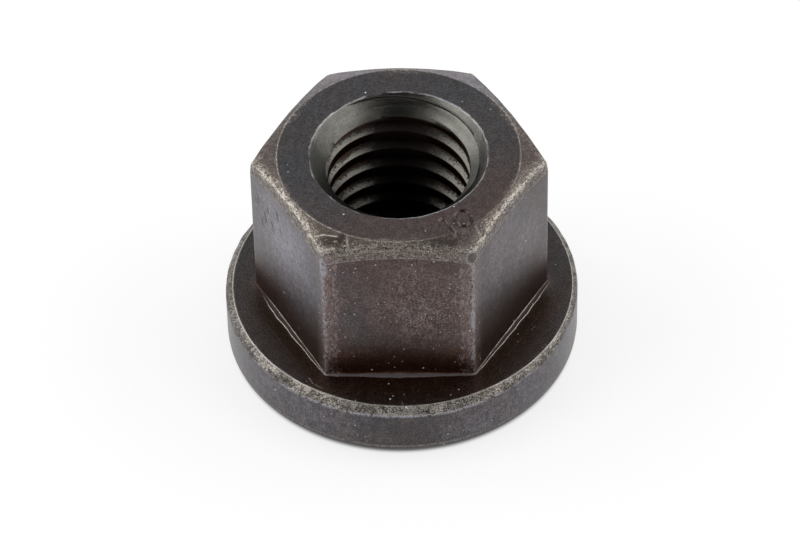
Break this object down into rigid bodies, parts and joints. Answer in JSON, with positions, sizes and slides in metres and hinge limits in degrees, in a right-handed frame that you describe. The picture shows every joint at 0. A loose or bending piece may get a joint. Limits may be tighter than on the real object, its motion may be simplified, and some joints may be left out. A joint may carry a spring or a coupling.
{
  "type": "hexagon collar nut",
  "caption": "Tall hexagon nut forged in one piece with a flat round collar, with a right-hand metric thread countersunk at both ends.",
  "frame": {"origin": "centre of the collar's bearing face, on the axis of the thread", "axes": "+Z along the axis of the thread, from the bearing face towards the chamfered end of the hexagon; +X through a corner of the hexagon, so that one flat faces -Y"},
  "size_m": [0.022, 0.022, 0.015],
  "materials": {
    "blackened_steel": "satin, oiled black oxide, worn bright on the edges"
  },
  "bodies": {
    "root": {"collar_nut": "blackened_steel"}
  },
  "joints": []
}
